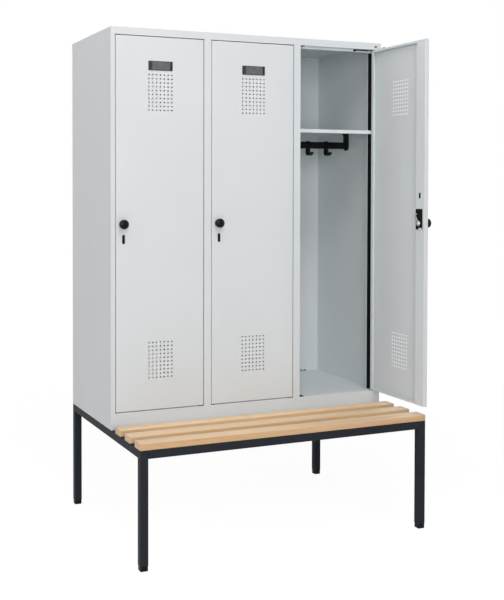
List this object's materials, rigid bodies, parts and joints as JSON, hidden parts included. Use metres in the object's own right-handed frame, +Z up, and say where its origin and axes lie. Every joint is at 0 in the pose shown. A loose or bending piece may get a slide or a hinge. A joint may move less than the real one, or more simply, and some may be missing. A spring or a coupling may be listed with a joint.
{
  "type": "locker with bench",
  "caption": "Steel cloakroom locker with vented hinged doors, turn knobs, shelves and sliding coat hooks, on a square-tube underframe that carries a slatted wooden bench in front.",
  "frame": {"origin": "bottom centre of the whole object's bounding box, with one door open as stored, on the floor", "axes": "+Z up; -Y is the front, with the doors and the bench; +X is to the right of a viewer facing the doors"},
  "size_m": [1.2072, 0.8526, 1.95],
  "materials": {
    "light_grey_paint": "light grey powder coat, satin",
    "anthracite_paint": "anthracite powder coat, satin",
    "beech": "clear-lacquered beech",
    "black_plastic": "black moulded plastic",
    "black_rubber": "black rubber, matt",
    "label_plastic": "dark grey moulded plastic",
    "zinc_plate": "zinc-plated steel"
  },
  "bodies": {
    "locker": {"front_left_leg": "anthracite_paint", "front_right_leg": "anthracite_paint", "rear_left_leg": "anthracite_paint", "rear_right_leg": "anthracite_paint", "front_left_foot": "black_plastic", "front_right_foot": "black_plastic", "rear_left_foot": "black_plastic", "rear_right_foot": "black_plastic", "front_rail": "anthracite_paint", "rear_rail": "anthracite_paint", "left_rail": "anthracite_paint", "right_rail": "anthracite_paint", "middle_rail": "anthracite_paint", "bench_slat_1": "beech", "bench_slat_2": "beech", "bench_slat_3": "beech", "left_side_panel": "light_grey_paint", "right_side_panel": "light_grey_paint", "back_panel": "light_grey_paint", "top_panel": "light_grey_paint", "floor_panel": "light_grey_paint", "front_frame": "light_grey_paint", "partition_1": "light_grey_paint", "partition_2": "light_grey_paint", "shelf_1": "light_grey_paint", "coat_rail_1": "black_plastic", "door_1_seal": "black_rubber", "shelf_2": "light_grey_paint", "coat_rail_2": "black_plastic", "door_2_seal": "black_rubber", "shelf_3": "light_grey_paint", "coat_rail_3": "black_plastic", "door_3_seal": "black_rubber"},
    "door_1": {"door_1_panel": "light_grey_paint", "door_1_lock_channel": "light_grey_paint", "door_1_label_holder": "label_plastic", "door_1_lock_case": "black_plastic"},
    "door_2": {"door_2_panel": "light_grey_paint", "door_2_lock_channel": "light_grey_paint", "door_2_label_holder": "label_plastic", "door_2_lock_case": "black_plastic"},
    "door_3": {"door_3_panel": "light_grey_paint", "door_3_lock_channel": "light_grey_paint", "door_3_label_holder": "label_plastic", "door_3_lock_case": "black_plastic"},
    "door_1_lock": {"door_1_knob": "black_plastic", "door_1_latch": "zinc_plate"},
    "door_2_lock": {"door_2_knob": "black_plastic", "door_2_latch": "zinc_plate"},
    "door_3_lock": {"door_3_knob": "black_plastic", "door_3_latch": "zinc_plate"},
    "coat_hook_1a": {"coat_hook_1a": "black_plastic"},
    "coat_hook_1b": {"coat_hook_1b": "black_plastic"},
    "coat_hook_1c": {"coat_hook_1c": "black_plastic"},
    "coat_hook_2a": {"coat_hook_2a": "black_plastic"},
    "coat_hook_2b": {"coat_hook_2b": "black_plastic"},
    "coat_hook_2c": {"coat_hook_2c": "black_plastic"},
    "coat_hook_3a": {"coat_hook_3a": "black_plastic"},
    "coat_hook_3b": {"coat_hook_3b": "black_plastic"},
    "coat_hook_3c": {"coat_hook_3c": "black_plastic"}
  },
  "joints": [
    {"name": "door_1_hinge", "type": "hinge", "parent": "locker", "child": "door_1", "pos_m": [-0.2272, -0.0697, 1.20515], "axis": [0, 0, 1], "range_deg": [0, 110]},
    {"name": "door_2_hinge", "type": "hinge", "parent": "locker", "child": "door_2", "pos_m": [0.1717, -0.0697, 1.20515], "axis": [0, 0, 1], "range_deg": [0, 110]},
    {"name": "door_3_hinge", "type": "hinge", "parent": "locker", "child": "door_3", "pos_m": [0.5706, -0.0697, 1.20515], "axis": [0, 0, 1], "range_deg": [-90, 20]},
    {"name": "door_1_knob_turn", "type": "hinge", "parent": "door_1", "child": "door_1_lock", "pos_m": [-0.5563, -0.0737, 1.20515], "axis": [0, -1, 0], "range_deg": [0, 125]},
    {"name": "door_2_knob_turn", "type": "hinge", "parent": "door_2", "child": "door_2_lock", "pos_m": [-0.1574, -0.0737, 1.20515], "axis": [0, -1, 0], "range_deg": [0, 125]},
    {"name": "door_3_knob_turn", "type": "hinge", "parent": "door_3", "child": "door_3_lock", "pos_m": [0.5746, -0.3988, 1.20515], "axis": [1, 0, 0], "range_deg": [0, 125]},
    {"name": "coat_hook_1a_slide", "type": "slide", "parent": "locker", "child": "coat_hook_1a", "axis": [1, 0, 0], "range_m": [-0.034, 0.034]},
    {"name": "coat_hook_1b_slide", "type": "slide", "parent": "locker", "child": "coat_hook_1b", "axis": [1, 0, 0], "range_m": [-0.034, 0.034]},
    {"name": "coat_hook_1c_slide", "type": "slide", "parent": "locker", "child": "coat_hook_1c", "axis": [1, 0, 0], "range_m": [-0.034, 0.034]},
    {"name": "coat_hook_2a_slide", "type": "slide", "parent": "locker", "child": "coat_hook_2a", "axis": [1, 0, 0], "range_m": [-0.034, 0.034]},
    {"name": "coat_hook_2b_slide", "type": "slide", "parent": "locker", "child": "coat_hook_2b", "axis": [1, 0, 0], "range_m": [-0.034, 0.034]},
    {"name": "coat_hook_2c_slide", "type": "slide", "parent": "locker", "child": "coat_hook_2c", "axis": [1, 0, 0], "range_m": [-0.034, 0.034]},
    {"name": "coat_hook_3a_slide", "type": "slide", "parent": "locker", "child": "coat_hook_3a", "axis": [1, 0, 0], "range_m": [-0.034, 0.034]},
    {"name": "coat_hook_3b_slide", "type": "slide", "parent": "locker", "child": "coat_hook_3b", "axis": [1, 0, 0], "range_m": [-0.034, 0.034]},
    {"name": "coat_hook_3c_slide", "type": "slide", "parent": "locker", "child": "coat_hook_3c", "axis": [1, 0, 0], "range_m": [-0.034, 0.034]}
  ]
}
